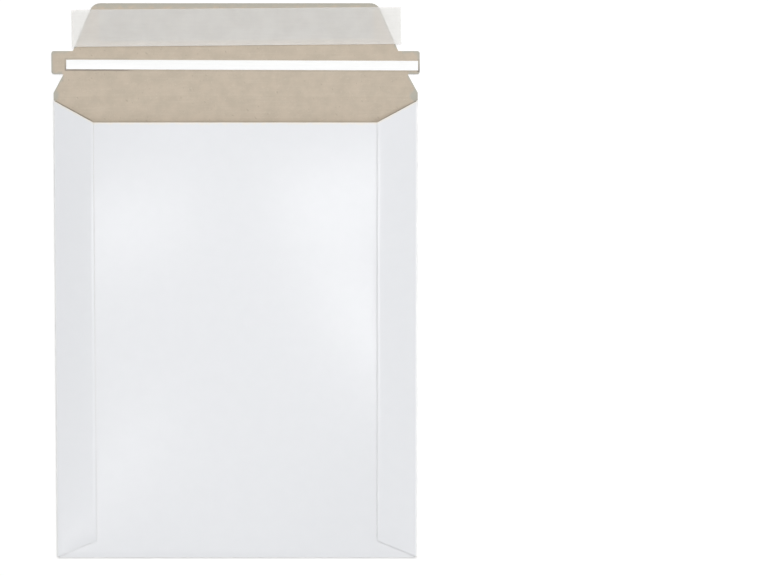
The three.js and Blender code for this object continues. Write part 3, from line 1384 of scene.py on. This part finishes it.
@dataclass
class Studio:
    """Pale floor, soft light and the camera above the mailer.

    The lamps are a broad key lamp beyond the flap, one at the right, one overhead and four that lend sheen.
    """

    aim: Triple = (93.1 * MM, 25.5 * MM, 2 * MM)
    distance: float = 1.4
    millimetres_per_pixel: float = 0.63
    image_width: int = 768
    tilt: float = math.radians(3.0)
    clip_start: float = 0.01
    ambient: float = 0.36
    floor_reach: float = 6.0
    floor_drop: float = 0.05 * MM
    floor_colour: Colour = (0.86, 0.86, 0.86)
    floor_roughness: float = 0.9
    floor_glow: float = 0.2
    lamps: tuple[SoftLamp, ...] = (
        SoftLamp("key_lamp", (1.3, 4.2, 7.3), width=5.0, length=5.0, share=0.46),
        SoftLamp("side_lamp", (2.6, -0.4, 3.5), width=0.6, length=0.6, share=0.1),
        SoftLamp("top_lamp", (-0.165, -0.17, 1.8), width=0.66, length=0.68, share=0.049),
        SoftLamp("right_sheen_lamp", (0.195, 0.06, 1.7), width=0.1, length=0.42, share=0.027),
        SoftLamp("right_low_sheen_lamp", (0.15, -0.16, 1.7), width=0.07, length=0.22, share=0.012),
        SoftLamp("left_sheen_lamp", (-0.41, 0.0, 1.7), width=0.08, length=0.4, share=0.016),
        SoftLamp("low_sheen_lamp", (-0.32, -0.4, 1.7), width=0.08, length=0.22, share=0.006),
    )

    def shown_ray(self, desk: NodeDesk) -> Output:
        """Tells the rays that show a surface from those that only light another.

        Args:
            desk: the node tree to work in.

        Returns:
            The output that is 1 for rays from the camera and mirrored or refracted ones, else 0.
        """
        path = desk.add("ShaderNodeLightPath").outputs
        shown = desk.maths("MAXIMUM", path["Is Camera Ray"], path["Is Glossy Ray"])
        return desk.maths("MAXIMUM", shown, path["Is Transmission Ray"])

    def floor(self) -> None:
        """Lays a wide pale floor just under the mailer, white to the camera but keeping the shadow."""
        corners = self.floor_reach * np.array([(-1, -1), (1, -1), (1, 1), (-1, 1)])
        mesh = bpy.data.meshes.new("floor")
        mesh.from_pydata([(x, y, -self.floor_drop) for x, y in corners], [], [(0, 1, 2, 3)])
        floor = bpy.data.objects.new("floor", mesh)
        bpy.context.collection.objects.link(floor)
        desk = FinishDesk("floor")
        desk.set("Base Color", (*self.floor_colour, 1))
        desk.set("Roughness", self.floor_roughness)
        desk.set("Emission Color", (1, 1, 1, 1))
        desk.set("Emission Strength", desk.product(self.shown_ray(desk), self.floor_glow))
        mesh.materials.append(desk.material)

    def world(self) -> None:
        """Even white surroundings: full white where seen, dimmer as a light."""
        world = bpy.data.worlds.new("studio")
        bpy.context.scene.world = world
        world.use_nodes = True
        desk = NodeDesk(world.node_tree)
        background = world.node_tree.nodes["Background"]
        background.inputs["Color"].default_value = (1, 1, 1, 1)
        desk.feed(background.inputs["Strength"], desk.fade(self.shown_ray(desk), (0, 1), (self.ambient, 1)))

    def camera(self) -> None:
        """Sets the camera above the mailer, tilted a little from the flap's end."""
        data = bpy.data.cameras.new("camera")
        pixels_per_metre = 1 / (self.millimetres_per_pixel * MM)
        data.lens = data.sensor_width * self.distance * pixels_per_metre / self.image_width
        data.clip_start = self.clip_start
        camera = bpy.data.objects.new("camera", data)
        back = Vector((0, math.sin(self.tilt), math.cos(self.tilt)))
        camera.location = Vector(self.aim) + self.distance * back
        camera.rotation_mode = "QUATERNION"
        camera.rotation_quaternion = Quaternion((1, 0, 0), -self.tilt)
        bpy.context.collection.objects.link(camera)
        bpy.context.scene.camera = camera

    def build(self) -> None:
        """Makes floor, surroundings, lamps and camera."""
        bpy.context.scene.view_settings.view_transform = "Standard"
        self.floor()
        self.world()
        for lamp in self.lamps:
            lamp.hang()
        self.camera()


def main() -> None:
    """Builds and dresses every piece in order and reports each one."""
    logging.basicConfig(level=logging.INFO, format="%(name)s: %(message)s")
    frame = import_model()
    sizes = MailerSizes.from_frame(frame)
    effects = SharedEffects.build()
    board = MailerBoard(sizes)
    sheet = board.build()
    films = FlapFilms(sizes, effects)
    board.dress(sheet, films.tape_rim(), effects)
    glue = SeamGlue(sizes, effects)
    pieces = [sheet, films.tear_tape(), films.seal_adhesive(), films.release_liner()]
    pieces += [glue.build(side) for side in Side]
    for piece in pieces:
        LOG.info("%s: %d faces before thickness", piece.name, len(piece.data.polygons))
    Studio().build()


if __name__ == "__main__":
    main()
